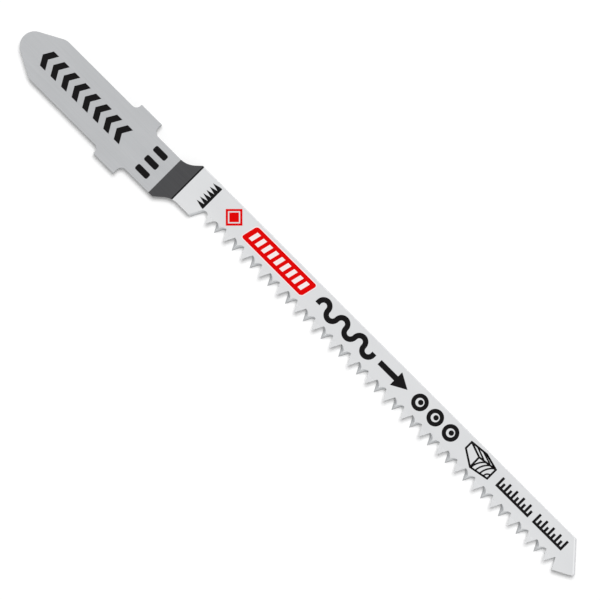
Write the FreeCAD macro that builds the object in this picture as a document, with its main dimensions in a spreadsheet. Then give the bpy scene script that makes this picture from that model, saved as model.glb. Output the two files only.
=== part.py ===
import FreeCAD, Part
import math
import os
from types import SimpleNamespace
import Sketcher

# Jigsaw blade with a T-shank and cross-ground, side-set teeth for tight curves.
#
# The blade is one stamping from strip steel. X runs from the shank to the tip, with zero in the
# middle of the lugs. Y runs towards the back edge, with zero on the shank's centre line. Z is the
# thickness, with zero in the middle of the steel and the printed side up.

# Driving dimensions: lengths in millimetres, angles in degrees. A depth is counted down from the
# back edge, which is level with the upper lug's end.
SIZES = {
    # the whole strip
    "OverallLength": 83.1,
    "BladeThickness": 1.25,
    "EdgeRadius": 0.1,
    # the tang, from its rounded nose to the lugs
    "TangLength": 14.25,
    "TangWidth": 5.82,
    "TangTaper": 28.4,
    "TangNoseRadius": 1.6,
    "TangShoulderRadius": 1.6,
    "TangRootRadius": 0.62,
    # the two lugs of the T
    "LugLength": 3.05,
    "LugSpan": 7.4,
    # the neck and the ramps that widen it into the body
    "NeckWidth": 4.98,
    "NeckRootRadius": 0.65,
    "BodyStart": 7.81,
    "BackRampAngle": 43.0,
    "BackRampRadius": 2.4,
    "HeelRampAngle": 41.0,
    "HeelRampRadius": 2.15,
    "HeelDepth": 4.84,
    # the slanted tip
    "TipFrontAngle": 47.7,
    "TipUnderAngle": 28.2,
    "TipNoseDepth": 2.95,
    "TipNoseRadius": 0.32,
    "TipBackRadius": 0.25,
    "TipToothDepth": 4.23,
    # the gullets: the plain steel before the middle of the first, their pitch and their form
    "HeelLand": 3.897,
    "ToothPitch": 1.354,
    "GulletDepth": 3.04,
    "GulletRadius": 0.7,
    "HeelGulletRadius": 0.53,
    "EndGulletRadius": 0.05,
    "FlankAngle": 28.5,
    "GrindSkew": 16.0,
    "EndToothLand": 0.6,
    # the teeth before grinding: how far below the gullets they bend, where they end, their set
    "SetStart": 0.123,
    "ToothLineDepth": 4.36,
    "ToothSet": 0.12,
}
SIZE = SimpleNamespace(**SIZES)

# Places worked out from the driving dimensions, as the constraints state them.
BACK = "Sizes.LugSpan / 2"
HALF_LUG = "Sizes.LugLength / 2"
NECK_STEP = "(Sizes.LugSpan - Sizes.NeckWidth) / 2"
TANG_STEP = "(Sizes.LugSpan - Sizes.TangWidth) / 2"
HEEL_STEP = "((Sizes.LugSpan + Sizes.NeckWidth) / 2 - Sizes.HeelDepth)"

# The tip's nose is measured at its arc, and its sharp corner lies further out on the bisector.
NOSE_OPENING = "Sizes.TipNoseRadius / sin((Sizes.TipFrontAngle + Sizes.TipUnderAngle) / 2)"
NOSE_LEAN = "(Sizes.TipFrontAngle - Sizes.TipUnderAngle) / 2"
TIP_CORNER = (f"(Sizes.OverallLength - Sizes.TangLength - {HALF_LUG} - Sizes.TipNoseRadius"
              f" + {NOSE_OPENING} * cos({NOSE_LEAN}))")
TIP_CORNER_DEPTH = f"(Sizes.TipNoseDepth + {NOSE_OPENING} * sin({NOSE_LEAN}))"
END_TOOTH = f"({TIP_CORNER} - (Sizes.TipToothDepth - {TIP_CORNER_DEPTH}) / tan(Sizes.TipUnderAngle))"

# The gullets go in pairs, as many as the plain steel at both ends leaves room for.
FIRST_GULLET = "(Sizes.BodyStart + Sizes.HeelLand)"
PAIR_PITCH = "2 * Sizes.ToothPitch"
TOOTHED_LENGTH = f"({END_TOOTH} - Sizes.EndToothLand - {FIRST_GULLET})"
GULLET_PAIRS = f"floor(({TOOTHED_LENGTH} + Sizes.ToothPitch) / ({PAIR_PITCH}))"
LAST_GULLET = f"({FIRST_GULLET} + (2 * {GULLET_PAIRS} - 1) * Sizes.ToothPitch)"

# The heel's gullets have the same flanks and a root that is round on both sides and a little deeper.
HEEL_GULLET_DEPTH = ("(Sizes.GulletDepth + (Sizes.HeelGulletRadius - Sizes.GulletRadius / 2)"
                     " * (1 / sin(Sizes.FlankAngle) - 1))")
SET_LINE = f"(max(Sizes.GulletDepth; {HEEL_GULLET_DEPTH}) + Sizes.SetStart)"

ORIGIN = (-1, 1)    # the sketch's origin, as a constraint names it
X_AXIS = -1
Y_AXIS = X_AXIS - 1
START, END, CENTRE = range(1, 4)
NEAR = 1e-4         # how near two places are when they are the same, in millimetres
WALL_SHARE = 0.9    # the most of a wall that the fillet at its foot takes up

doc = FreeCAD.newDocument("JigsawBlade")


def make_sheet():
    """Write the driving dimensions into a sheet, one named cell each."""
    sheet = doc.addObject("Spreadsheet::Sheet", "Sizes")
    for row, (alias, value) in enumerate(SIZES.items(), start=1):
        sheet.set(f"A{row}", alias)
        sheet.set(f"B{row}", str(value))
        sheet.setAlias(f"B{row}", alias)
    doc.recompute()


def origin_feature(body, role):
    """One of the body's own origin planes or axes."""
    return next(f for f in body.Origin.OriginFeatures if f.Role == role)


def new_sketch(body, name, plane, **offset):
    """A sketch on an origin plane, moved by expressions for its own x, y and z."""
    sketch = body.newObject("Sketcher::SketchObject", name)
    sketch.AttachmentSupport = [(origin_feature(body, plane), "")]
    sketch.MapMode = "FlatFace"
    for letter, expression in offset.items():
        sketch.setExpression(f"AttachmentOffset.Base.{letter}", expression)
    return sketch


def add_line(sketch, start, end):
    return sketch.addGeometry(Part.LineSegment(FreeCAD.Vector(*start), FreeCAD.Vector(*end)))


def add_chain(sketch, corners):
    """Draw a closed chain of straight runs through the corners, joined end to end."""
    runs = [add_line(sketch, here, there) for here, there in zip(corners, corners[1:] + corners[:1])]
    for run, following in zip(runs, runs[1:] + runs[:1]):
        fix(sketch, "Coincident", run, END, following, START)
    return runs


def fix(sketch, kind, *where):
    sketch.addConstraint(Sketcher.Constraint(kind, *where))


def bind(sketch, name, kind, *where, to):
    """Add a named dimension and bind it to an expression over the sheet's cells."""
    value = sketch.evalExpression(to)
    if kind == "Angle":
        value = math.radians(value)
    index = sketch.addConstraint(Sketcher.Constraint(kind, *where, value))
    sketch.renameConstraint(index, name)
    sketch.setExpression(f"Constraints.{name}", to)


def draw_outline(sketch):
    """The stamped outline with sharp corners. The teeth's strip is left open down to the set line."""
    lug, span = SIZE.LugLength / 2, SIZE.LugSpan / 2
    tang, neck = SIZE.TangWidth / 2, SIZE.NeckWidth / 2
    nose = -lug - SIZE.TangLength
    reach = SIZE.OverallLength + nose
    first, last = sketch.evalExpression(FIRST_GULLET), sketch.evalExpression(LAST_GULLET)
    heel, under = span - SIZE.HeelDepth, span - SIZE.TipToothDepth
    set_line = span - sketch.evalExpression(SET_LINE)
    # The corners are drawn about where they belong, and the constraints put them in place.
    (taper, tang_edge, lug_front, lug_end, lug_rear, neck_edge, back_ramp, back, tip_front, tip_under,
     tip_tooth, tip_step, teeth, heel_step, heel_edge, heel_ramp, low_neck_edge, low_lug_rear,
     low_lug_end, low_lug_front, low_tang_edge, low_taper) = add_chain(sketch, [
        (nose, 0), (nose + tang, tang), (-lug, tang), (-lug, span), (lug, span), (lug, neck),
        (SIZE.BodyStart - neck / 2, neck), (SIZE.BodyStart, span), (reach - span, span),
        (reach, under / 2), (reach - lug, under), (last, under), (last, set_line),
        (first, set_line), (first, heel), (SIZE.BodyStart, heel),
        (SIZE.BodyStart - lug, -neck), (lug, -neck), (lug, -span), (-lug, -span), (-lug, -tang),
        (nose + tang, -tang)])

    for run in (tang_edge, lug_end, neck_edge, back, tip_tooth, teeth, heel_edge, low_neck_edge):
        fix(sketch, "Horizontal", run)
    for run in (lug_front, lug_rear, tip_step, heel_step):
        fix(sketch, "Vertical", run)
    for upper, lower in ((tang_edge, low_taper), (lug_front, low_tang_edge), (lug_end, low_lug_front),
                         (lug_rear, low_lug_end), (neck_edge, low_lug_rear)):
        fix(sketch, "Symmetric", upper, START, lower, START, X_AXIS)
    fix(sketch, "PointOnObject", taper, START, X_AXIS)
    fix(sketch, "Horizontal", lug_end, END, back, START)

    # the tang: the nose is measured at its rounded end, and its sharp corner lies further out
    bind(sketch, "TangTaper", "Angle", taper, to="Sizes.TangTaper")
    bind(sketch, "TangReach", "DistanceX", taper, START, *ORIGIN,
         to=f"{HALF_LUG} + Sizes.TangLength + Sizes.TangNoseRadius * (1 / sin(Sizes.TangTaper) - 1)")
    bind(sketch, "TangHalfWidth", "DistanceY", *ORIGIN, tang_edge, START, to="Sizes.TangWidth / 2")
    # the lugs and the neck
    bind(sketch, "LugFront", "DistanceX", lug_front, START, *ORIGIN, to=HALF_LUG)
    bind(sketch, "LugRear", "DistanceX", *ORIGIN, lug_rear, START, to=HALF_LUG)
    bind(sketch, "LugEnd", "DistanceY", *ORIGIN, lug_end, START, to=BACK)
    bind(sketch, "NeckHalfWidth", "DistanceY", *ORIGIN, neck_edge, START, to="Sizes.NeckWidth / 2")
    # the two ramps, which end one above the other
    bind(sketch, "BackRampAngle", "Angle", back_ramp, to="Sizes.BackRampAngle")
    bind(sketch, "BackStart", "DistanceX", *ORIGIN, back, START, to="Sizes.BodyStart")
    bind(sketch, "HeelRampAngle", "Angle", heel_ramp, to="Sizes.HeelRampAngle - 180")
    bind(sketch, "HeelStart", "DistanceX", *ORIGIN, heel_ramp, START, to="Sizes.BodyStart")
    bind(sketch, "HeelDepth", "DistanceY", heel_edge, START, back, START, to="Sizes.HeelDepth")
    # the teeth's strip, from the middle of the first gullet to the middle of the last
    bind(sketch, "TeethStart", "DistanceX", *ORIGIN, heel_step, START, to=FIRST_GULLET)
    bind(sketch, "TeethEnd", "DistanceX", *ORIGIN, tip_step, START, to=LAST_GULLET)
    bind(sketch, "SetLine", "DistanceY", teeth, START, back, START, to=SET_LINE)
    bind(sketch, "TipToothDepth", "DistanceY", tip_tooth, START, back, START, to="Sizes.TipToothDepth")
    # the tip
    bind(sketch, "TipFrontAngle", "Angle", tip_front, to="-Sizes.TipFrontAngle")
    bind(sketch, "TipUnderAngle", "Angle", tip_under, to="Sizes.TipUnderAngle - 180")
    bind(sketch, "TipCorner", "DistanceX", *ORIGIN, tip_under, START, to=TIP_CORNER)
    bind(sketch, "TipCornerDepth", "DistanceY", tip_under, START, back, START, to=TIP_CORNER_DEPTH)
    return SimpleNamespace(
        nose=[(taper, START)], shoulders=[(taper, END), (low_taper, START)],
        tang_roots=[(tang_edge, END), (low_tang_edge, START)],
        neck_roots=[(neck_edge, START), (low_neck_edge, END)],
        back_ramp=[(back_ramp, START)], heel_ramp=[(heel_ramp, START)],
        tip_nose=[(tip_front, END)], tip_back=[(tip_front, START)])


def pad(body, name, sketch, length, side):
    feature = body.newObject("PartDesign::Pad", name)
    feature.Profile = sketch
    feature.SideType = side
    feature.setExpression("Length", length)
    doc.recompute()
    return feature


def round_edges(body, name, base, edges, radius):
    """Round the named edges of a feature by the radius that an expression gives."""
    feature = body.newObject("PartDesign::Fillet", name)
    feature.Base = (base, edges)
    feature.setExpression("Radius", radius)
    doc.recompute()
    return feature


def corner_edges(base, sketch, corners):
    """Names of the upright edges that stand on corners of the outline."""
    places = [sketch.getPoint(*corner) for corner in corners]
    names = []
    for number, edge in enumerate(base.Shape.Edges, start=1):
        foot, head = edge.firstVertex().Point, edge.lastVertex().Point
        stands = abs(foot.x - head.x) < NEAR and abs(foot.y - head.y) < NEAR
        if stands and any(math.hypot(foot.x - p.x, foot.y - p.y) < NEAR for p in places):
            names.append(f"Edge{number}")
    return names


def rim_edges(base):
    """Names of the edges round both faces, without those where the teeth will be."""
    first, last = base.evalExpression(FIRST_GULLET), base.evalExpression(LAST_GULLET)
    top = SIZE.BladeThickness / 2
    back = SIZE.LugSpan / 2
    names = []
    for number, edge in enumerate(base.Shape.Edges, start=1):
        box = edge.BoundBox
        flat = box.ZLength < NEAR and abs(abs(box.ZMin) - top) < NEAR
        in_teeth = box.XMin > first - NEAR and box.XMax < last + NEAR and box.YMax < back - NEAR
        if flat and not in_teeth:
            names.append(f"Edge{number}")
    return names


def limited(radius, wall, turn="90"):
    """The radius of a fillet at the foot of a wall, limited by the wall's length above it."""
    return f"min(Sizes.{radius}; {WALL_SHARE} * ({wall} - Sizes.EdgeRadius) / tan({turn} / 2))"


def make_blank(body):
    """The stamped blank: shank, neck, body and tip, with its corners and rims rounded."""
    sketch = new_sketch(body, "Outline", "XY_Plane")
    corners = draw_outline(sketch)
    back_ramp = f"{NECK_STEP} / sin(Sizes.BackRampAngle)"
    heel_ramp = f"{HEEL_STEP} / sin(Sizes.HeelRampAngle)"
    blank = pad(body, "Blank", sketch, "Sizes.BladeThickness", "Symmetric")
    for name, places, radius in (
            ("TangNose", corners.nose, "Sizes.TangNoseRadius"),
            ("TangShoulders", corners.shoulders, "Sizes.TangShoulderRadius"),
            ("TangRoots", corners.tang_roots, limited("TangRootRadius", TANG_STEP)),
            ("NeckRoots", corners.neck_roots, limited("NeckRootRadius", NECK_STEP)),
            ("BackRamp", corners.back_ramp, limited("BackRampRadius", back_ramp, "Sizes.BackRampAngle")),
            ("HeelRamp", corners.heel_ramp, limited("HeelRampRadius", heel_ramp, "Sizes.HeelRampAngle")),
            ("TipNose", corners.tip_nose, "Sizes.TipNoseRadius"),
            ("TipBack", corners.tip_back, "Sizes.TipBackRadius")):
        blank = round_edges(body, name, blank, corner_edges(blank, sketch, places), radius)
    return round_edges(body, "Rims", blank, rim_edges(blank), "Sizes.EdgeRadius")


def repeat(body, name, feature, count):
    """Repeat a feature along the blade, one pair of teeth apart."""
    pattern = body.newObject("PartDesign::LinearPattern", name)
    pattern.Originals = [feature]
    pattern.Direction = (origin_feature(body, "X_Axis"), [""])
    pattern.Mode = "Spacing"
    pattern.setExpression("Offset", PAIR_PITCH)
    pattern.setExpression("Occurrences", count)
    body.Tip = pattern
    doc.recompute()
    return pattern


def add_set_teeth(body, name, start, count, lean):
    """A row of one-pitch blocks below the set line, which lean to one side of the blade.

    The section is drawn across the blade, with its origin on the back edge: x points up to the
    back edge and y through the thickness.
    """
    sketch = new_sketch(body, name + "Section", "YZ_Plane", x=BACK, z=start)
    half, out = SIZE.BladeThickness / 2, lean * SIZE.ToothSet
    bend, tooth = -sketch.evalExpression(SET_LINE), -SIZE.ToothLineDepth
    bend_side, upper_side, tooth_side = add_chain(sketch, [
        (bend, -half), (bend, half), (tooth, half + out), (tooth, out - half)])[:3]
    fix(sketch, "Vertical", tooth_side)
    fix(sketch, "Symmetric", bend_side, START, bend_side, END, X_AXIS)
    bind(sketch, "BendThickness", "DistanceY", bend_side, START, bend_side, END,
         to="Sizes.BladeThickness")
    bind(sketch, "ToothThickness", "DistanceY", tooth_side, END, tooth_side, START,
         to="Sizes.BladeThickness")
    bind(sketch, "BendDepth", "DistanceX", bend_side, START, *ORIGIN, to=SET_LINE)
    bind(sketch, "ToothDepth", "DistanceX", tooth_side, START, *ORIGIN, to="Sizes.ToothLineDepth")
    if lean > 0:
        bind(sketch, "Set", "DistanceY", upper_side, START, upper_side, END, to="Sizes.ToothSet")
    else:
        bind(sketch, "Set", "DistanceY", upper_side, END, upper_side, START, to="Sizes.ToothSet")
    block = pad(body, name, sketch, "Sizes.ToothPitch", "One side")
    return repeat(body, name + "Row", block, count)


def draw_flanks(sketch, left_top, right_top, clearance):
    """Draw a gullet's straight flanks, from both ends of its root down past the deepest edge."""
    floor_depth = f"max(Sizes.HeelDepth; Sizes.ToothLineDepth; Sizes.TipToothDepth) + {clearance}"
    low = -sketch.evalExpression(floor_depth)
    flare = math.tan(math.radians(SIZE.FlankAngle))
    left_foot = left_top[0] - (left_top[1] - low) * flare
    right_foot = right_top[0] + (right_top[1] - low) * flare
    left = add_line(sketch, (left_foot, low), left_top)
    right = add_line(sketch, right_top, (right_foot, low))
    floor = add_line(sketch, (right_foot, low), (left_foot, low))
    fix(sketch, "Coincident", right, END, floor, START)
    fix(sketch, "Coincident", floor, END, left, START)
    fix(sketch, "Symmetric", floor, START, floor, END, Y_AXIS)
    bind(sketch, "LeftFlank", "Angle", left, to="90 - Sizes.FlankAngle")
    bind(sketch, "RightFlank", "Angle", right, to="Sizes.FlankAngle - 90")
    bind(sketch, "FloorDepth", "DistanceY", floor, START, *ORIGIN, to=floor_depth)
    return left, right


def draw_round_gullet(body, name, place, depth, radius):
    """Draw a gullet whose root is an arc that runs into both flanks."""
    sketch = new_sketch(body, name, "XY_Plane", x=place, y=BACK)
    centre_depth = f"{depth} + {radius}"
    r, y = sketch.evalExpression(radius), -sketch.evalExpression(centre_depth)
    flank = math.radians(SIZE.FlankAngle)
    side, top = r * math.cos(flank), y + r * math.sin(flank)
    left, right = draw_flanks(sketch, (-side, top), (side, top), radius)
    circle = Part.Circle(FreeCAD.Vector(0, y, 0), FreeCAD.Vector(0, 0, 1), r)
    arc = sketch.addGeometry(Part.ArcOfCircle(circle, flank, math.pi - flank))
    fix(sketch, "Tangent", left, END, arc, END)
    fix(sketch, "Tangent", arc, START, right, START)
    bind(sketch, "RootRadius", "Radius", arc, to=radius)
    bind(sketch, "RootDepth", "DistanceY", arc, CENTRE, *ORIGIN, to=centre_depth)
    return sketch


def draw_keen_gullet(body, name, place, skew):
    """Draw a gullet with a sharp corner beside the tooth that shows its flat face.

    From that corner the root runs level at first and then rounds into the other tooth's flank.
    """
    sketch = new_sketch(body, name, "XY_Plane", x=place, y=BACK)
    flank = math.radians(SIZE.FlankAngle)
    r, y = SIZE.GulletRadius, -SIZE.GulletDepth - SIZE.GulletRadius
    x = -skew * r * (1 - math.sin(flank)) / math.cos(flank) / 2
    tops = [(x, y + r), (x + skew * r * math.cos(flank), y + r * math.sin(flank))]
    keen, soft = draw_flanks(sketch, *tops[::skew], "Sizes.GulletRadius")[::skew]
    circle = Part.Circle(FreeCAD.Vector(x, y, 0), FreeCAD.Vector(0, 0, 1), r)
    arc = sketch.addGeometry(Part.ArcOfCircle(
        circle, *sorted((math.pi / 2, math.pi / 2 - skew * (math.pi / 2 - flank)))))
    keen_end, soft_end = (END, START)[::skew]
    fix(sketch, "Coincident", keen, keen_end, arc, keen_end)
    fix(sketch, "Tangent", arc, soft_end, soft, soft_end)
    fix(sketch, "Vertical", arc, keen_end, arc, CENTRE)
    bind(sketch, "RootRadius", "Radius", arc, to="Sizes.GulletRadius")
    bind(sketch, "RootDepth", "DistanceY", arc, keen_end, *ORIGIN, to="Sizes.GulletDepth")
    return sketch


def grind(body, name, profile, skew):
    """Grind one gullet through the thickness, with the wheel askew or, for a skew of 0, straight.

    The wheel's path leans along the blade, to one side or the other, so each tooth is widest at one
    face and pointed there, with a bevel on both flanks as seen from the other face.
    """
    before = body.Shape.Volume
    cut = body.newObject("PartDesign::Pocket", name)
    cut.Profile = profile
    cut.SideType = "Symmetric"
    cut.setExpression("Length", "2 * (Sizes.BladeThickness + Sizes.ToothSet)")
    cut.UseCustomVector = True
    cut.Direction = FreeCAD.Vector(0, 0, 1)
    cut.setExpression("Direction.x", f"{skew} * sin(Sizes.GrindSkew)")
    cut.setExpression("Direction.z", "cos(Sizes.GrindSkew)")
    doc.recompute()
    print(f"{name}: {before - cut.Shape.Volume:.3f} mm3 ground away")
    return cut


def make_blade():
    body = doc.addObject("PartDesign::Body", "Blade")
    body.Label = "blade"
    make_blank(body)

    # Side set: the first tooth leans towards the printed face, the next one away from it.
    following = f"{FIRST_GULLET} + Sizes.ToothPitch"
    between = f"{GULLET_PAIRS} - 1"
    add_set_teeth(body, "TeethUp", FIRST_GULLET, GULLET_PAIRS, lean=1)
    add_set_teeth(body, "TeethDown", following, between, lean=-1)

    # Cross grinding: the wheel leans one way in every other gullet and back in those between. The
    # first gullet of each kind, beside the heel, is rounder. The last of all, beside the tip, is
    # ground straight, so the tip's own tooth has no bevel.
    sides = (("GulletLeft", FIRST_GULLET, -1, between), ("GulletRight", following, 1, f"{between} - 1"))
    for name, first, skew, count in sides:
        profile = draw_round_gullet(body, f"Heel{name}Profile", first,
                                    HEEL_GULLET_DEPTH, "Sizes.HeelGulletRadius")
        grind(body, "Heel" + name, profile, skew)
        profile = draw_keen_gullet(body, f"{name}Profile", f"{first} + {PAIR_PITCH}", skew)
        cut = grind(body, name, profile, skew)
        repeat(body, name + "Row", cut, count)
    profile = draw_round_gullet(body, "EndGulletProfile", LAST_GULLET,
                                "Sizes.GulletDepth", "Sizes.EndGulletRadius")
    grind(body, "EndGullet", profile, 0)
    return body


def check_document(pieces):
    """Stop if any feature failed or any piece is not one sound solid."""
    for item in doc.Objects:
        if "Invalid" in item.State or "Error" in item.State:
            raise RuntimeError(f"{item.Name} failed: {item.State}")
        if item.TypeId == "Sketcher::SketchObject" and not item.FullyConstrained:
            raise RuntimeError(f"{item.Name} is not fully constrained")
    for piece in pieces:
        shape = piece.Shape
        if shape.isNull() or not shape.isValid() or len(shape.Solids) != 1:
            raise RuntimeError(f"{piece.Label} is not one sound solid")


def main():
    make_sheet()
    pieces = [make_blade()]
    doc.recompute()
    check_document(pieces)
    os.makedirs("parts", exist_ok=True)
    for piece in pieces:
        piece.Shape.exportStep(f"parts/{piece.Label}.step")
        box = piece.Shape.BoundBox
        print(f"{piece.Label}: {box.XLength:.3f} x {box.YLength:.3f} x {box.ZLength:.3f} mm,"
              f" {piece.Shape.Volume:.2f} mm3")


main()
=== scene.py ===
# %% [markdown]
# # A jigsaw blade
#
# This lesson dresses one stamped steel blade: a bare shank, a charcoal band, a pale lacquered body
# with printed marks, and a row of small ground teeth. The solid comes from the frame, at its real
# size and lying on its side, so nothing here moves it or changes its mesh. What is added is its
# finish, the ink on it, a floor, the light and a camera.

# %% Load the frame
import math

import bmesh
import bpy
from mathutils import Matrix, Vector


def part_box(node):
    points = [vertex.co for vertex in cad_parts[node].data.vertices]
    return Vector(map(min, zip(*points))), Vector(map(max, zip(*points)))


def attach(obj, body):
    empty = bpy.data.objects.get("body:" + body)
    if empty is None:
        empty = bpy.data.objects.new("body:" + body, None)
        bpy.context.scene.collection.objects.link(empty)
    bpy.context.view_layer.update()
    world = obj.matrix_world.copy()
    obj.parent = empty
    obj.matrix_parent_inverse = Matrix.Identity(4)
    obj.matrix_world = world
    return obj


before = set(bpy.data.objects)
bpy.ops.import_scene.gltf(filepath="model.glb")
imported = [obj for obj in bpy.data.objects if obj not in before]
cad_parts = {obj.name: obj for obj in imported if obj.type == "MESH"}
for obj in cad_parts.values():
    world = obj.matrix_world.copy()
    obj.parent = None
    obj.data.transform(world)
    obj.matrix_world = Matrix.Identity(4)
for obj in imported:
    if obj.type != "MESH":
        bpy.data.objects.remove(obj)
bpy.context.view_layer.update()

MM = 0.001
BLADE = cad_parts["blade"]
LOWEST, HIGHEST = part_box("blade")
print("the blade is", [round(side / MM, 2) for side in HIGHEST - LOWEST], "mm")

# %% [markdown]
# ## The camera
#
# The blade lies flat and is seen from straight above, turned so that its shank is at the upper left
# and its tip at the lower right. Product pictures like this one are taken from far away, so that both
# ends have the same scale. A long lens at a long distance does the same here, and it frames other
# views just as well.

# %% Camera straight above the blade
FRAME_WIDTH = 64.71 * MM             # what the image is wide, measured on the blade
FRAME_CENTRE = (25.440 * MM, 0.850 * MM)
BLADE_TURN = math.radians(44.95)     # how far the blade is turned from the image's own axis
LENS, SENSOR = 400.0, 36.0
CLIP_END = 10.0                      # metres, well past the table

PRINTED_FACE = 0.625 * MM            # half of the steel's 1.25 mm
bpy.ops.object.camera_add(
    location=(*FRAME_CENTRE, PRINTED_FACE + FRAME_WIDTH * LENS / SENSOR),
    rotation=(0, 0, BLADE_TURN),
)
camera = bpy.context.object
camera.name = "camera"
camera.data.lens = LENS
camera.data.sensor_width = SENSOR
camera.data.clip_end = CLIP_END
bpy.context.scene.camera = camera
print("the camera is", round(camera.location.z, 3), "m up")

# %% [markdown]
# ## Colours and nodes
#
# Colours are picked as sRGB hex values, the way a paint program shows them. The renderer counts in
# linear light, so one function turns them. One more function adds a shader node with its settings
# and its links, so that each material below reads as a list of what it is made of.

# %% Colour and node helpers
def colour(code):
    """The linear colour of an sRGB hex value such as #DCDDDF."""
    channels = [int(code[i:i + 2], 16) / 255 for i in (1, 3, 5)]
    linear = [c / 12.92 if c <= 0.04045 else ((c + 0.055) / 1.055) ** 2.4 for c in channels]
    return linear + [1]


def add(tree, kind, inputs=None, **settings):
    """Add a node. Inputs are given by name or number, as a value or as another node's output."""
    made = tree.nodes.new(kind)
    for name, value in settings.items():
        setattr(made, name, value)
    for socket, value in (inputs or {}).items():
        if isinstance(value, bpy.types.NodeSocket):
            tree.links.new(value, made.inputs[socket])
        else:
            made.inputs[socket].default_value = value
    return made


def new_material(name):
    """An empty material and its node tree."""
    material = bpy.data.materials.new(name)
    material.use_nodes = True
    material.node_tree.nodes.clear()
    return material, material.node_tree


# %% [markdown]
# ## Floor and light
#
# The blade lies on a white table under soft studio light. A wide key light comes from beyond the back
# edge and half from the shank's end, so a narrow soft shadow falls below the blade and beside each
# tooth. The sky around fills it. Both together are set so that a colour on the blade comes out about
# as it is written. The white of the background isn't made with more light: the table glows a little
# for the camera, and for what mirrors it, but not for the light.

# %% Floor
FLOOR_GAP = 0.008 * MM               # the lowest tooth points just clear the table
FLOOR_SIZE = 6.0                     # metres, so that it fills every view
FLOOR_GLOW = 0.14


def seen(tree):
    """1 for a ray that the camera sees, directly or by way of metal or glass, and 0 for the light."""
    path = add(tree, "ShaderNodeLightPath").outputs
    mirrored = add(tree, "ShaderNodeMath", {0: path["Is Camera Ray"], 1: path["Is Glossy Ray"]},
                   operation="ADD")
    return add(tree, "ShaderNodeMath", {0: mirrored.outputs[0], 1: path["Is Transmission Ray"]},
               operation="ADD", use_clamp=True).outputs[0]


floor_white, tree = new_material("matt_white_table")
glow = add(tree, "ShaderNodeMath", {0: seen(tree), 1: FLOOR_GLOW}, operation="MULTIPLY")
table = add(tree, "ShaderNodeBsdfDiffuse", {"Color": colour("#F2F2F2")})
light_up = add(tree, "ShaderNodeEmission", {"Color": colour("#FFFFFF"), "Strength": glow.outputs[0]})
both = add(tree, "ShaderNodeAddShader", {0: table.outputs[0], 1: light_up.outputs[0]})
add(tree, "ShaderNodeOutputMaterial", {"Surface": both.outputs[0]})

bpy.ops.mesh.primitive_plane_add(size=FLOOR_SIZE, location=(0, 0, LOWEST.z - FLOOR_GAP))
floor = bpy.context.object
floor.name = "floor"
floor.data.materials.append(floor_white)
print("the table lies", round(-floor.location.z / MM, 3), "mm below the middle of the steel")

# %% Key light and sky
SKY_LEVEL = 0.30                     # what the sky alone gives a white face that looks up
KEY_LEVEL = 0.72                     # what the key light adds
KEY_HEIGHT = math.radians(74.5)
KEY_WIDTH = math.radians(24)         # as wide as a large soft box close by
KEY_SIDE = Vector((-0.50, 0.866))    # from beyond the back edge and half from the shank's end

bpy.ops.object.light_add(type="SUN", location=(0, 0, 0.5))
key = bpy.context.object
key.name = "key_light"
key.data.angle = KEY_WIDTH
key.visible_glossy = False           # so that its bright disc doesn't show in the ground flanks
key.data.energy = KEY_LEVEL * math.pi / math.sin(KEY_HEIGHT)
towards = Vector((*(KEY_SIDE * math.cos(KEY_HEIGHT)), math.sin(KEY_HEIGHT)))
key.rotation_euler = towards.to_track_quat("Z", "Y").to_euler()

world = bpy.data.worlds.new("studio")
bpy.context.scene.world = world
world.use_nodes = True
tree = world.node_tree
tree.nodes.clear()
sky = add(tree, "ShaderNodeBackground", {"Color": colour("#FFFFFF"), "Strength": SKY_LEVEL})
backdrop = add(tree, "ShaderNodeBackground", {"Color": colour("#FFFFFF"), "Strength": 1.0})
studio = add(tree, "ShaderNodeMixShader", {0: seen(tree), 1: sky.outputs[0], 2: backdrop.outputs[0]})
add(tree, "ShaderNodeOutputWorld", {"Surface": studio.outputs[0]})

bpy.context.scene.view_settings.view_transform = "Standard"
print("key light", round(key.data.energy, 2), "W/m2, sky", SKY_LEVEL)

# %% [markdown]
# ## The finish of the blade
#
# The real blade is cold-rolled carbon steel. The shank stays bare, because it has to sit in the
# clamp. The body is coated with a thin silvery lacquer, a charcoal band is printed round the neck,
# and a fine black line ends it. The teeth are ground after that, so their flanks are bare bright
# steel with grinding lines across the thickness.
#
# The press that cuts the tip's slanted front pulls its rim down a little. That rim is drawn as a
# painted highlight just inside that edge, with a painted shade between it and the edge.
#
# All of that is on one piece, so it is one material, and masks tell the finishes apart: where a
# point lies along the blade, and whether its face looks up or sideways. The masks read Object
# coordinates, which are metres here, so they use the real places in millimetres.

# %% Where each finish begins and ends
BAND_START = 5.665 * MM
BAND_END = 7.860 * MM
BODY_START = 8.025 * MM
TEETH_START = 10.2 * MM              # all ground flanks lie between these two places
TEETH_END = 65.15 * MM
GULLET_ROOT = 0.72 * MM              # how high up the blade the ground faces reach
SIDEWAYS = 0.75                      # a face is an edge or a flank if its normal rises less than this
RIM_RISE = 0.97                      # a face is part of a rounded rim or a side if it rises less than this
WALL_RISE = 0.45                     # and part of a side if it rises less than this

TIP_FRONT_ANGLE = math.radians(47.7)
TIP_FRONT_REACH = 50.384 * MM        # how far the tip's front lies from the origin, square to it
TIP_NOSE = 0.75 * MM                 # the front's straight run ends here, above the nose
TIP_HIGHLIGHT_START, TIP_SHADE_START = 0.27 * MM, 0.15 * MM      # a painted highlight runs this far inside that edge, and painted shade nearer to it
print("the body's finish runs over", round((HIGHEST.x - BODY_START) / MM, 1), "mm")

# %% Masks along the blade and over its edges
steel_finish, tree = new_material("bare_and_lacquered_carbon_steel")
place = add(tree, "ShaderNodeTexCoord")
xyz = add(tree, "ShaderNodeSeparateXYZ", {0: place.outputs["Object"]})
facing = add(tree, "ShaderNodeSeparateXYZ", {0: place.outputs["Normal"]})


def combine(first, operation, second):
    """A mask or a number from two others, by one of the Math node's operations."""
    return add(tree, "ShaderNodeMath", {0: first, 1: second}, operation=operation).outputs[0]


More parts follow.
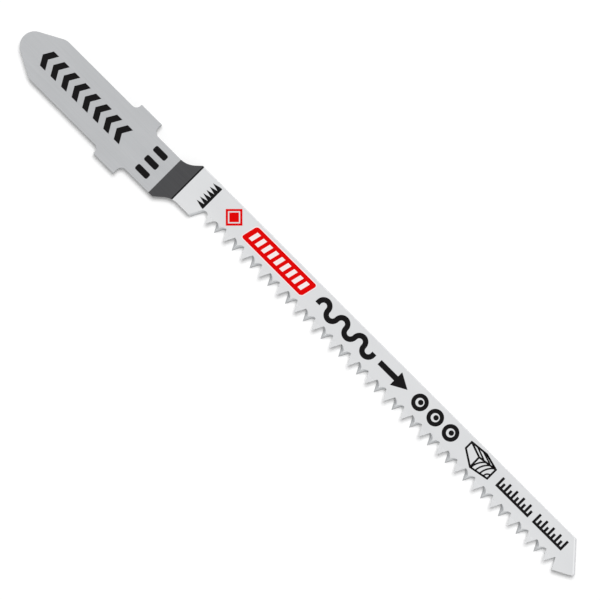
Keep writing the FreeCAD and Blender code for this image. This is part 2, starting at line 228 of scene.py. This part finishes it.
past_shank = combine(xyz.outputs["X"], "GREATER_THAN", BAND_START)
past_band = combine(xyz.outputs["X"], "GREATER_THAN", BAND_END)
past_line = combine(xyz.outputs["X"], "GREATER_THAN", BODY_START)
in_teeth = combine(combine(xyz.outputs["X"], "GREATER_THAN", TEETH_START), "MULTIPLY",
                   combine(xyz.outputs["X"], "LESS_THAN", TEETH_END))
below_root = combine(xyz.outputs["Y"], "LESS_THAN", GULLET_ROOT)
rise = combine(facing.outputs["Z"], "ABSOLUTE", 0.0)
sideways = combine(rise, "LESS_THAN", SIDEWAYS)
rim = combine(rise, "LESS_THAN", RIM_RISE)
wall = combine(rise, "LESS_THAN", WALL_RISE)
ground = combine(combine(in_teeth, "MULTIPLY", below_root), "MULTIPLY", sideways)
bare = combine(combine(1.0, "SUBTRACT", past_shank), "MAXIMUM", ground)
print("masks made with", len(tree.nodes), "nodes")

# %% Masks of the painted highlight and shade at the tip's rolled rim
square_to_front = combine(combine(xyz.outputs["X"], "MULTIPLY", math.sin(TIP_FRONT_ANGLE)), "ADD",
                          combine(xyz.outputs["Y"], "MULTIPLY", math.cos(TIP_FRONT_ANGLE)))
inside_front = combine(TIP_FRONT_REACH, "SUBTRACT", square_to_front)
front_face = combine(combine(xyz.outputs["Y"], "GREATER_THAN", TIP_NOSE), "MULTIPLY",
                     combine(xyz.outputs["Z"], "GREATER_THAN", 0.0))
# painted highlight and, nearer the edge, painted shade on the printed face at the tip's front
tip_highlight_mask = combine(combine(inside_front, "LESS_THAN", TIP_HIGHLIGHT_START), "MULTIPLY", front_face)
tip_shade_mask = combine(combine(inside_front, "LESS_THAN", TIP_SHADE_START), "MULTIPLY", front_face)
# the width printed next is that of the painted highlight
print("the painted highlight at the rolled rim is", round((TIP_HIGHLIGHT_START - TIP_SHADE_START) / MM, 2), "mm wide")

# %% [markdown]
# ## Grain, grit and orange peel
#
# Three patterns give the surfaces their life, each with its real size. Rolled steel has fine lines
# along the strip. Ground steel has lines that follow the wheel, through the thickness. Lacquer has a
# shallow orange peel. A noise texture makes all three, stretched by a Mapping node whose scale is one
# over the size in metres. The steel's real lines are about 0.02 mm wide, too fine for this image, so
# they are drawn a few times as coarse.

# %% Patterns of the surfaces
ROLLING_LINE = (5.0 * MM, 0.11 * MM, 0.11 * MM)    # long along X, fine across
GRINDING_LINE = (0.07 * MM, 0.07 * MM, 1.6 * MM)   # long through the thickness
ORANGE_PEEL = (0.35 * MM, 0.35 * MM, 0.35 * MM)
CLOUDS = (7.0 * MM, 2.0 * MM, 2.0 * MM)            # slow changes of tone along the strip


def pattern(size, detail):
    """A noise whose grain has that size in metres."""
    fitted = add(tree, "ShaderNodeMapping", {"Vector": place.outputs["Object"],
                                             "Scale": [1 / side for side in size]})
    return add(tree, "ShaderNodeTexNoise", {"Vector": fitted.outputs[0], "Scale": 1.0,
                                            "Detail": detail}).outputs["Fac"]


def blend(factor, first, second, kind="FLOAT"):
    """One value where the mask is 0 and another where it is 1."""
    sockets = {"FLOAT": (2, 3, 0), "RGBA": (6, 7, 2)}[kind]
    mixed = add(tree, "ShaderNodeMix", {0: factor, sockets[0]: first, sockets[1]: second}, data_type=kind)
    return mixed.outputs[sockets[2]]


rolled = pattern(ROLLING_LINE, 3.0)
scratched = pattern(GRINDING_LINE, 2.0)
peel = pattern(ORANGE_PEEL, 1.0)
clouds = pattern(CLOUDS, 2.0)
print("the finish has", len(tree.nodes), "nodes so far")

# %% [markdown]
# ## The colours of the finishes
#
# Each finish goes from a darker to a lighter tone by its pattern. Rolled steel and lacquer vary
# little. A ground flank keeps its own tone at the printed face and is painted darker towards the far
# face, as a painted shade. The narrow sides of the strip are cut and not finished, so they are darker
# than its faces, and the rounded rims of the lacquered part are painted lighter, as a painted highlight.

# %% Bare steel, band, line and lacquer
STEEL_DARK, STEEL_LIGHT = colour("#B2B4B6"), colour("#C9CACC")
LACQUER_DARK, LACQUER_LIGHT = colour("#D5D6D8"), colour("#DEDFE0")
BAND_DARK, BAND_LIGHT = colour("#2E2E30"), colour("#3F3F41")
LINE_BLACK = colour("#101010")
# a painted highlight for the rounded rims and the tip's rim, and a painted shade beside the tip's edge
PAINTED_HIGHLIGHT, ROLL_SHADE = colour("#EAEBEC"), colour("#D6D7D9")
LINES_SHARE, CLOUDS_SHARE = 0.6, 0.4  # what rolled lines and slow changes of tone add to the steel

grain = combine(combine(rolled, "MULTIPLY", LINES_SHARE), "ADD", combine(clouds, "MULTIPLY", CLOUDS_SHARE))
steel = blend(grain, STEEL_DARK, STEEL_LIGHT, "RGBA")
lacquer = blend(clouds, LACQUER_DARK, LACQUER_LIGHT, "RGBA")
# the tip's slanted front gets its painted highlight and its painted shade
lacquer = blend(tip_shade_mask, blend(tip_highlight_mask, lacquer, PAINTED_HIGHLIGHT, "RGBA"), ROLL_SHADE, "RGBA")
band = blend(rolled, BAND_DARK, BAND_LIGHT, "RGBA")
coat = blend(past_band, band, LINE_BLACK, "RGBA")
coat = blend(past_line, coat, lacquer, "RGBA")
face_colour = blend(past_shank, steel, coat, "RGBA")

# %% Rims, sides and ground flanks, with painted highlight and painted shade
WALL_STEEL, WALL_LACQUER = colour("#77797B"), colour("#9A9B9D")
GROUND_DARK, GROUND_LIGHT = colour("#B0B2B4"), colour("#D8DADC")
# painted shade: the lower part of a ground flank is painted darker, down to the far face
FLANK_SHADE_DARK, FLANK_SHADE_LIGHT = colour("#8C8E90"), colour("#AAACAE")
FLANK_SHADE_TOP = 0.30 * MM              # painted shade on a ground flank starts below this height

# the rounded rims of the lacquered part get a painted highlight
highlighted_rim = combine(combine(rim, "MULTIPLY", past_line), "SUBTRACT", tip_shade_mask)
rim_highlight_colour = blend(combine(highlighted_rim, "MAXIMUM", 0.0), face_colour, PAINTED_HIGHLIGHT, "RGBA")
wall_coat = blend(past_line, band, WALL_LACQUER, "RGBA")
wall_colour = blend(past_shank, WALL_STEEL, wall_coat, "RGBA")
side_colour = blend(wall, rim_highlight_colour, wall_colour, "RGBA")
# how far down a ground flank the painted shade has come
below_shade_top = combine(FLANK_SHADE_TOP, "SUBTRACT", xyz.outputs["Z"])
flank_shade_share = combine(below_shade_top, "DIVIDE", FLANK_SHADE_TOP + PRINTED_FACE)
unshaded_flank = blend(scratched, GROUND_DARK, GROUND_LIGHT, "RGBA")
shaded_flank = blend(scratched, FLANK_SHADE_DARK, FLANK_SHADE_LIGHT, "RGBA")
# the flank with its painted shade
flank = blend(flank_shade_share, unshaded_flank, shaded_flank, "RGBA")
blade_colour = blend(ground, side_colour, flank, "RGBA")
print("painted shade on a ground flank spans", round((FLANK_SHADE_TOP + PRINTED_FACE) / MM, 2), "mm")

# %% [markdown]
# ## Gloss and relief
#
# Only the bare steel is a metal to the renderer. Lacquer and band are a coat over it, satin and a
# little smoother. The relief is drawn by a Bump node, whose height is in metres here, so the rolled
# and ground lines are about one and a half thousandths of a millimetre deep, as on the real strip.

# %% Gloss, relief and the shader
STEEL_ROUGHNESS, GROUND_ROUGHNESS, LACQUER_ROUGHNESS = 0.42, 0.36, 0.40
ROUGHNESS_SPREAD = 0.10
LINE_DEPTH, PEEL_DEPTH = 0.0015 * MM, 0.0010 * MM

coated_roughness = blend(past_shank, STEEL_ROUGHNESS, LACQUER_ROUGHNESS)
roughness = blend(ground, coated_roughness, GROUND_ROUGHNESS)
spread = combine(combine(rolled, "SUBTRACT", 0.5), "MULTIPLY", ROUGHNESS_SPREAD)
roughness = combine(roughness, "ADD", spread)
rolled_relief = combine(rolled, "MULTIPLY", LINE_DEPTH)
peel_relief = combine(peel, "MULTIPLY", PEEL_DEPTH)
coat_relief = blend(past_shank, rolled_relief, peel_relief)
relief = blend(ground, coat_relief, combine(scratched, "MULTIPLY", LINE_DEPTH))
bump = add(tree, "ShaderNodeBump", {"Height": relief, "Strength": 1.0, "Distance": 1.0})
shader = add(tree, "ShaderNodeBsdfPrincipled", {"Base Color": blade_colour, "Metallic": bare,
                                                "Roughness": roughness, "Normal": bump.outputs[0]})
add(tree, "ShaderNodeOutputMaterial", {"Surface": shader.outputs[0]})

BLADE.data.materials.clear()
BLADE.data.materials.append(steel_finish)
print("finished", BLADE.name, "with", len(tree.nodes), "nodes")

# %% [markdown]
# ## Printing inks
#
# The marks on the blade are pad-printed: a soft pad sets down a thin film of ink on the finished
# blade. Such ink is opaque and satin, it follows the orange peel of the lacquer under it, and its
# density varies a little from spot to spot. Three inks are used, so one loop makes them all, each
# with a darker and a lighter tone and a mottle between them. A real mottle is about 0.05 mm wide, so
# it is drawn four times as coarse to show here.

# %% Black, red and white ink
MOTTLE = (0.2 * MM, 0.2 * MM, 0.2 * MM)
INK_ROUGHNESS = 0.55
INK_SHEEN = 0.1                      # the specular level: the pigment leaves little gloss
INK_TONES = {
    "black_pad_printing_ink": ("#090809", "#131213"),
    "red_pad_printing_ink": ("#D70000", "#E10302"),
    "white_pad_printing_ink": ("#EFE3E3", "#F8EDED"),
}

inks = {}
for name, (dark, light) in INK_TONES.items():
    inks[name], tree = new_material(name)
    place = add(tree, "ShaderNodeTexCoord")
    mottled = blend(pattern(MOTTLE, 2.0), colour(dark), colour(light), "RGBA")
    relief = combine(pattern(ORANGE_PEEL, 1.0), "MULTIPLY", PEEL_DEPTH)
    bump = add(tree, "ShaderNodeBump", {"Height": relief, "Strength": 1.0, "Distance": 1.0})
    shader = add(tree, "ShaderNodeBsdfPrincipled", {"Base Color": mottled, "Roughness": INK_ROUGHNESS,
                                                    "Specular IOR Level": INK_SHEEN,
                                                    "Normal": bump.outputs[0]})
    add(tree, "ShaderNodeOutputMaterial", {"Surface": shader.outputs[0]})
BLACK, RED, WHITE = inks.values()
print("mixed", len(inks), "inks")

# %% [markdown]
# ## How a printed mark is made
#
# A mark could be painted by the blade's material, but its edge would then be a formula, hard to read
# and hard to change. It is modelled instead as what it is, a very thin piece of ink: a flat field cut
# to shape on the printed face, to which Solidify gives its thickness. It sinks into the steel by two
# thousandths of a millimetre, so that no light passes under it.
#
# Real pad printing leaves about 0.01 mm of ink. Each colour that is printed over another one lies
# that much higher.

# %% Fields and discs of ink
INK_FILM = 0.010 * MM
INK_SUNK = 0.002 * MM


def start_field(name, size, centre, layer=1):
    """A flat rectangle of ink, open in edit mode with its points selected."""
    bpy.ops.object.select_all(action="DESELECT")
    bpy.ops.mesh.primitive_plane_add(size=1)
    field = bpy.context.object
    field.name = name
    bpy.ops.object.mode_set(mode="EDIT")
    bpy.ops.mesh.select_mode(type="VERT")
    bpy.ops.transform.resize(value=(size[0] * MM, size[1] * MM, 1))
    bpy.ops.transform.translate(value=(centre[0] * MM, centre[1] * MM, PRINTED_FACE + layer * INK_FILM))
    return field


def start_disc(name, radius, centre, corners=48):
    """A flat disc of ink, open in edit mode with its face selected."""
    bpy.ops.object.select_all(action="DESELECT")
    bpy.ops.mesh.primitive_circle_add(vertices=corners, radius=radius * MM, fill_type="NGON")
    disc = bpy.context.object
    disc.name = name
    bpy.ops.object.mode_set(mode="EDIT")
    bpy.ops.mesh.select_mode(type="FACE")
    bpy.ops.transform.translate(value=(centre[0] * MM, centre[1] * MM, PRINTED_FACE + INK_FILM))
    return disc


# %% [markdown]
# Edit operators act on what is selected. By hand that is picked with the mouse, and in a script by
# place: one function selects the points or faces that pass a test, and the next ones move them.

# %% Picking and moving parts of a field
def pick(field, kind, test):
    """Select the points or faces whose middle, in millimetres, passes the test."""
    bpy.ops.mesh.select_mode(type=kind)
    bpy.ops.mesh.select_all(action="DESELECT")
    grid = bmesh.from_edit_mesh(field.data)
    if kind == "VERT":
        found = [vert for vert in grid.verts if test(vert.co / MM)]
    else:
        found = [face for face in grid.faces if test(face.calc_center_median() / MM)]
    for element in found:
        element.select_set(True)
    grid.select_flush_mode()
    bmesh.update_edit_mesh(field.data)


def move(x, y):
    """Move what is selected, in millimetres."""
    bpy.ops.transform.translate(value=(x * MM, y * MM, 0))


def lean(field, middle, shift):
    """Push the part above the middle line sideways, so that the field leans."""
    pick(field, "VERT", lambda at: at.y > middle)
    move(shift, 0)


# %% [markdown]
# What a mark repeats is drawn once and laid down again by an Array. Several fields can be joined to
# one mark, and every mark is then thickened, inked and set to ride on the blade in the same way.

# %% Repeating, thickening and joining fields
def repeat(field, count, step):
    """Lay the same mark down several times, a step apart."""
    bpy.ops.object.mode_set(mode="OBJECT")
    row = field.modifiers.new("row", "ARRAY")
    row.count = count
    row.use_relative_offset = False
    row.use_constant_offset = True
    row.constant_offset_displace = (step[0] * MM, step[1] * MM, 0)
    bpy.ops.object.modifier_apply(modifier=row.name)


def set_ink(field, ink):
    """Give the field the thickness of its film and its ink, and let it ride on the blade."""
    if field.mode == "EDIT":
        bpy.ops.object.mode_set(mode="OBJECT")
    film = field.modifiers.new("film", "SOLIDIFY")
    film.thickness = max(at.co.z for at in field.data.vertices) - PRINTED_FACE + INK_SUNK
    film.offset = -1                 # the field is the film's upper face
    bpy.ops.object.modifier_apply(modifier=film.name)
    field.data.materials.append(ink)
    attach(field, "root")
    print("printed", field.name, "with", len(field.data.polygons), "faces")


def join(name, fields):
    """Make one mark of several."""
    bpy.ops.object.select_all(action="DESELECT")
    for field in fields:
        field.select_set(True)
    bpy.context.view_layer.objects.active = fields[0]
    bpy.ops.object.join()
    fields[0].name = name
    return fields[0]


# %% [markdown]
# ## Marks on the shank
#
# The shank carries a row of eight heavy chevrons that point to the nose, the way the blade goes
# into the saw. One arm of a chevron is a rectangle that leans. The Mirror modifier makes the other
# arm, since the shank is the same on both sides of its middle line. Three bars with rounded corners
# lie across the neck, before the charcoal band.

# %% Chevrons that point to the nose
ARM_WIDTH, ARM_HEIGHT, ARM_LEAN = 0.80, 1.07, 0.62     # millimetres, as all sizes of the marks
CHEVRONS, CHEVRON_STEP = 8, 1.607
FIRST_CHEVRON = -12.50

arm = start_field("shank_chevrons", (ARM_WIDTH, ARM_HEIGHT), (FIRST_CHEVRON, ARM_HEIGHT / 2))
lean(arm, ARM_HEIGHT / 2, ARM_LEAN)
bpy.ops.object.mode_set(mode="OBJECT")
mirror = arm.modifiers.new("other_arm", "MIRROR")
mirror.use_axis = (False, True, False)
bpy.ops.object.modifier_apply(modifier=mirror.name)
repeat(arm, CHEVRONS, (CHEVRON_STEP, 0))
set_ink(arm, BLACK)

# %% Bars across the neck
NECK_BARS, NECK_BAR_STEP = 3, 1.37
NECK_BAR_SIZE, NECK_BAR_ROUNDING = (1.78, 0.72), 0.2
FIRST_NECK_BAR = (3.62, -1.33)

bar = start_field("neck_bars", NECK_BAR_SIZE, FIRST_NECK_BAR)
bpy.ops.mesh.bevel(offset=NECK_BAR_ROUNDING * MM, segments=4, affect="VERTICES")
repeat(bar, NECK_BARS, (0, NECK_BAR_STEP))
set_ink(bar, BLACK)

# %% [markdown]
# ## The line at the band's end
#
# A fine black line ends the charcoal band. The blade's material already darkens the steel under it,
# out to the rounded rims. On the flat face it is ink like the marks, a narrow field that follows the
# blade's lower edge, which still runs at a slant there.

# %% Fine line across the blade
LINE_TOP, LINE_FOOT = 3.60, -1.165
LINE_SLANT = 0.05                    # how much lower its left corner lies than its right one
line_width = (BODY_START - BAND_END) / MM
line_middle = (BAND_END + BODY_START) / MM / 2

line = start_field("band_line", (line_width, LINE_TOP - LINE_FOOT),
                   (line_middle, (LINE_TOP + LINE_FOOT) / 2))
pick(line, "VERT", lambda at: at.y < 0 and at.x < line_middle)
move(0, -LINE_SLANT / 2)
pick(line, "VERT", lambda at: at.y < 0 and at.x > line_middle)
move(0, LINE_SLANT / 2)
set_ink(line, BLACK)

# %% [markdown]
# ## Marks on the body
#
# First comes a column of small teeth, then a diamond and a badge in red, and then the large black
# marks, one for each thing a buyer looks for: a wave for cuts in a curve, an arrow for the cut, and
# three log ends for wood. Triangles come from a rectangle with one side merged to a point.

# %% A column of small teeth
SMALL_TEETH, SMALL_PITCH, SMALL_HEIGHT = 6, 0.50, 0.95
FIRST_SMALL_TOOTH = (10.375, 0.63)
SPINE_SIZE, SPINE_MIDDLE, SPINE_ROUNDING = (0.24, 3.0), (10.97, 1.88), 0.06

tooth = start_field("pitch_teeth", (SMALL_HEIGHT, SMALL_PITCH), FIRST_SMALL_TOOTH)
pick(tooth, "VERT", lambda at: at.x < FIRST_SMALL_TOOTH[0])
bpy.ops.mesh.merge(type="CENTER")
repeat(tooth, SMALL_TEETH, (0, SMALL_PITCH))
spine = start_field("pitch_spine", SPINE_SIZE, SPINE_MIDDLE)
bpy.ops.mesh.bevel(offset=SPINE_ROUNDING * MM, segments=3, affect="VERTICES")
bpy.ops.object.mode_set(mode="OBJECT")
set_ink(join("pitch_teeth", [tooth, spine]), BLACK)

# %% [markdown]
# The diamond is a square turned by an eighth of a turn. Two insets divide it into a frame, a gap and
# a core, and the gap is then deleted.

# %% Red diamond
DIAMOND = (14.11, 2.14)
DIAMOND_SIDE = 1.80
FRAME_INK, FRAME_GAP = 0.24, 0.14

diamond = start_field("red_diamond", (DIAMOND_SIDE, DIAMOND_SIDE), DIAMOND)
bpy.ops.transform.rotate(value=math.radians(45), orient_axis="Z",
                         center_override=(DIAMOND[0] * MM, DIAMOND[1] * MM, 0))
bpy.ops.mesh.select_mode(type="FACE")
bpy.ops.mesh.inset(thickness=FRAME_INK * MM)
bpy.ops.mesh.inset(thickness=FRAME_GAP * MM)
gap_far = DIAMOND_SIDE / 2 - FRAME_INK
gap_near = gap_far - FRAME_GAP


def across(at):
    """How far a place is from the diamond's middle, square to its sides."""
    return (abs(at.x - DIAMOND[0]) + abs(at.y - DIAMOND[1])) / math.sqrt(2)


pick(diamond, "FACE", lambda at: gap_near < across(at) < gap_far)
bpy.ops.mesh.delete(type="FACE")
set_ink(diamond, RED)

# %% [markdown]
# The badge is a red bar whose ends lean. Red ink is thin, so a white field is printed under it and
# shows as a fine line all round. The row of leaning bars is white, over the red.

# %% Badge of three layers
BADGE = (20.9, 2.22)
BADGE_SIZE = (9.12, 2.04)
BADGE_LEAN = 0.49
BADGE_EDGE = 0.10                    # how far the white shows round the red
BADGE_ROUNDING = 0.34
BADGE_FIELDS = (("badge_white_base", WHITE, BADGE_EDGE), ("badge_red_field", RED, 0))

for layer, (name, ink, grown) in enumerate(BADGE_FIELDS, 1):
    badge = start_field(name, (BADGE_SIZE[0] + 2 * grown, BADGE_SIZE[1] + 2 * grown),
                        (BADGE[0] - BADGE_LEAN / 2, BADGE[1]), layer)
    lean(badge, BADGE[1], BADGE_LEAN)
    bpy.ops.mesh.select_all(action="SELECT")
    bpy.ops.mesh.bevel(offset=(BADGE_ROUNDING + grown) * MM, segments=8, affect="VERTICES")
    set_ink(badge, ink)

# %% White bars on the badge
BADGE_BARS, BADGE_STEP = 9, 0.93
BADGE_BAR_SIZE, BADGE_BAR_LEAN = (0.50, 1.12), 0.27
BADGE_BAR_SHIFT = 0.13               # back by half of the lean, so that the row is centred

first_bar = (BADGE[0] - (BADGE_BARS - 1) / 2 * BADGE_STEP - BADGE_BAR_SHIFT, BADGE[1])
badge_bar = start_field("badge_bars", BADGE_BAR_SIZE, first_bar, 3)
lean(badge_bar, BADGE[1], BADGE_BAR_LEAN)
repeat(badge_bar, BADGE_BARS, (BADGE_STEP, 0))
set_ink(badge_bar, WHITE)

# %% [markdown]
# The wave is drawn by the Spin operator, as a pen would be turned. A short leg is made first. Its
# upper side is swung half a turn over one centre, then half a turn back under the next, and so on.
# Seen from above, Spin turns clockwise here for a positive angle. A second leg ends the line.

# %% Wave for cuts in a curve
PEN = 0.60                           # how wide the wave is drawn
WAVE_START, WAVE_END = 26.72, 35.50
WAVE_MIDDLE, LEG = 2.175, 0.26
ARCHES = 6
SPIN_STEPS = 16                      # how many faces a bend has along it
ARCH_RADIUS = (WAVE_END - WAVE_START - PEN) / ARCHES / 2

wave = start_field("curve_wave", (PEN, LEG), (WAVE_START + PEN / 2, WAVE_MIDDLE - LEG / 2))
pick(wave, "VERT", lambda at: at.y > WAVE_MIDDLE - LEG / 2)
for arch in range(ARCHES):
    centre = (WAVE_START + PEN / 2 + (2 * arch + 1) * ARCH_RADIUS, WAVE_MIDDLE)
    turn = -math.pi if arch % 2 else math.pi
    bpy.ops.mesh.spin(steps=SPIN_STEPS, angle=turn, center=(centre[0] * MM, centre[1] * MM, 0),
                      axis=(0, 0, 1))
bpy.ops.mesh.extrude_region_move(TRANSFORM_OT_translate={"value": (0, LEG * MM, 0)})
bpy.ops.mesh.select_all(action="SELECT")
bpy.ops.mesh.normals_make_consistent(inside=False)
set_ink(wave, BLACK)
print("the wave's arches have a radius of", round(ARCH_RADIUS, 3), "mm")

# %% [markdown]
# The arrow starts as its head, a rectangle whose front is merged to a point. The edge at the back is
# cut in three, and its middle third is extruded backwards as the shaft.

# %% Arrow for the cut
ARROW_START, ARROW_END = 36.25, 40.50
HEAD_LENGTH, HEAD_WIDTH = 1.75, 1.91
head_middle = ARROW_END - HEAD_LENGTH / 2
shaft = ARROW_END - HEAD_LENGTH - ARROW_START

arrow = start_field("cut_arrow", (HEAD_LENGTH, HEAD_WIDTH), (head_middle, WAVE_MIDDLE))
pick(arrow, "VERT", lambda at: at.x > head_middle)
bpy.ops.mesh.merge(type="CENTER")
pick(arrow, "VERT", lambda at: at.x < head_middle)
bpy.ops.mesh.subdivide(number_cuts=2)
pick(arrow, "VERT", lambda at: at.x < head_middle and abs(at.y - WAVE_MIDDLE) < HEAD_WIDTH / 4)
bpy.ops.mesh.extrude_region_move(TRANSFORM_OT_translate={"value": (-shaft * MM, 0, 0)})
set_ink(arrow, BLACK)

# %% [markdown]
# A log end is a disc with a ring of bark, a bare ring and a heart. Two insets divide the disc, the
# part between is deleted, and the heart is moved a little off the middle, as it grows.

# %% Log ends for wood
LOG_RADIUS, BARK, SAPWOOD = 0.955, 0.46, 0.20
HEART_SHIFT = (0.07, 0.05)
LOGS, FIRST_LOG, LOG_STEP = 3, 42.40, 2.33

log = start_disc("log_ends", LOG_RADIUS, (FIRST_LOG, WAVE_MIDDLE))
bpy.ops.mesh.inset(thickness=BARK * MM)
bpy.ops.mesh.inset(thickness=SAPWOOD * MM)
move(*HEART_SHIFT)


def from_middle(at):
    """How far a place is from the first log's middle."""
    return math.hypot(at.x - FIRST_LOG, at.y - WAVE_MIDDLE)


ring_far = LOG_RADIUS - BARK
ring_near = ring_far - SAPWOOD
pick(log, "FACE", lambda at: ring_near < from_middle(at) < ring_far)
bpy.ops.mesh.delete(type="FACE")
repeat(log, LOGS, (LOG_STEP, 0))
set_ink(log, BLACK)

# %% [markdown]
# ## Small marks near the tip
#
# A plank is drawn in thin lines and seen at an angle, with its long side, its top and its end. A flat
# sheet of three faces is made first, by moving the points of a subdivided rectangle. Insets turn each
# face into a line all round it, and what is left of the faces is deleted. Strokes for the grain are
# laid over the top, and yearly rings are spun round the end's lower corner.

# %% Sheet of the plank's three faces
SIDE_TOP, BACK_TOP, END_TOP = (49.27, 3.21), (51.46, 3.42), (53.44, 2.90)
SIDE_FOOT, FRONT_FOOT, END_FOOT = (49.27, 2.13), (51.11, 0.94), (53.44, 1.38)
FRONT_TOP = (51.10, 2.50)
PLACES = {                           # where each point of the subdivided unit square goes
    (0, 1): BACK_TOP, (0.5, 1): BACK_TOP, (1, 1): END_TOP,
    (0, 0.5): SIDE_TOP, (0.5, 0.5): FRONT_TOP, (1, 0.5): END_TOP,
    (0, 0): SIDE_FOOT, (0.5, 0): FRONT_FOOT, (1, 0): END_FOOT,
}
NEAR = 0.01                          # a point is at a place if it is nearer than this
MERGED = 0.001 * MM

plank = start_field("plank", (1, 1), (0.5, 0.5))
bpy.ops.mesh.subdivide(number_cuts=1)
for (x, y), (new_x, new_y) in PLACES.items():
    pick(plank, "VERT", lambda at: math.dist((at.x, at.y), (x, y)) < NEAR)
    move(new_x - x, new_y - y)
bpy.ops.mesh.select_all(action="SELECT")
bpy.ops.mesh.remove_doubles(threshold=MERGED)
pick(plank, "FACE", lambda at: at.y > FRONT_TOP[1])
bpy.ops.mesh.dissolve_faces()
print("the plank has", len(bmesh.from_edit_mesh(plank.data).faces), "faces")

# %% Outline of the plank
THIN_PEN = 0.22

bpy.ops.mesh.select_all(action="SELECT")
bpy.ops.mesh.inset(thickness=THIN_PEN / 2 * MM)
bpy.ops.mesh.inset(thickness=THIN_PEN / 2 * MM, use_individual=True)
bpy.ops.mesh.delete(type="FACE")
bpy.ops.object.mode_set(mode="OBJECT")

# %% [markdown]
# The lines inside are a little thinner. Each stroke of the grain is laid level and then rotated. With
# no window, Rotate turns clockwise for a positive value, as Spin does.

# %% Grain on the plank's top
GRAIN_PEN, GRAIN_LENGTH = 0.18, 1.62
GRAIN = (((50.88, 2.93), 20.0), ((51.70, 3.03), 18.0), ((52.25, 3.10), 16.5))      # middle and degrees

lines = [plank]
for middle, slope in GRAIN:
    stroke = start_field("grain", (GRAIN_LENGTH, GRAIN_PEN), middle)
    bpy.ops.transform.rotate(value=math.radians(slope), orient_axis="Z",
                             center_override=(middle[0] * MM, middle[1] * MM, 0))
    bpy.ops.object.mode_set(mode="OBJECT")
    lines.append(stroke)
print("laid", len(lines) - 1, "strokes of grain")

# %% [markdown]
# The rings are spun clockwise from strokes that start on the end's lower line. Three of them are wide
# arcs a step apart, and the fourth is a small one round the corner. The heart of the tree would lie
# down there.

# %% Yearly rings on the plank's end
RINGS = (((53.23, 1.03), 2.00, 50, 3), ((53.36, 1.46), 0.52, 90, 1))   # centre, radius, degrees, count
RING_STEP = (0.566, 0.095)
RING_SEED = 0.02                     # the length of the stroke that a ring is spun from

for centre, radius, turn, count in RINGS:
    ring = start_field("yearly_ring", (GRAIN_PEN, RING_SEED), (centre[0] - radius, centre[1]))
    pick(ring, "VERT", lambda at: at.y > centre[1])
    bpy.ops.mesh.spin(steps=SPIN_STEPS, angle=math.radians(turn),
                      center=(centre[0] * MM, centre[1] * MM, 0), axis=(0, 0, 1))
    bpy.ops.mesh.select_all(action="SELECT")
    bpy.ops.mesh.normals_make_consistent(inside=False)
    repeat(ring, count, RING_STEP)
    lines.append(ring)
set_ink(join("plank", lines), BLACK)

# %% [markdown]
# Two short scales follow the plank, each a base line with ticks that are long and short in turn. One
# long and one short tick are drawn, and an Array repeats each of them two steps apart.

# %% Two short scales
TICK, SCALE_TOP, BASE_LINE = 0.29, 2.84, 1.57
LONG_TICK, SHORT_TICK = SCALE_TOP - BASE_LINE - TICK, 0.55
SCALES = ((54.45, 10), (60.03, 9))   # where each scale starts and how many ticks it has
TICK_STEP = 0.515

for number, (start, ticks) in enumerate(SCALES, 1):
    length = (ticks - 1) * TICK_STEP + TICK
    marks = [start_field("base_line", (length, TICK), (start + length / 2, BASE_LINE + TICK / 2))]
    bpy.ops.object.mode_set(mode="OBJECT")
    for first, height in ((0, LONG_TICK), (1, SHORT_TICK)):
        tick = start_field("tick", (TICK, height),
                           (start + TICK / 2 + first * TICK_STEP, BASE_LINE + TICK + height / 2))
        repeat(tick, (ticks - first + 1) // 2, (2 * TICK_STEP, 0))
        marks.append(tick)
    set_ink(join(f"scale_{number}", marks), BLACK)
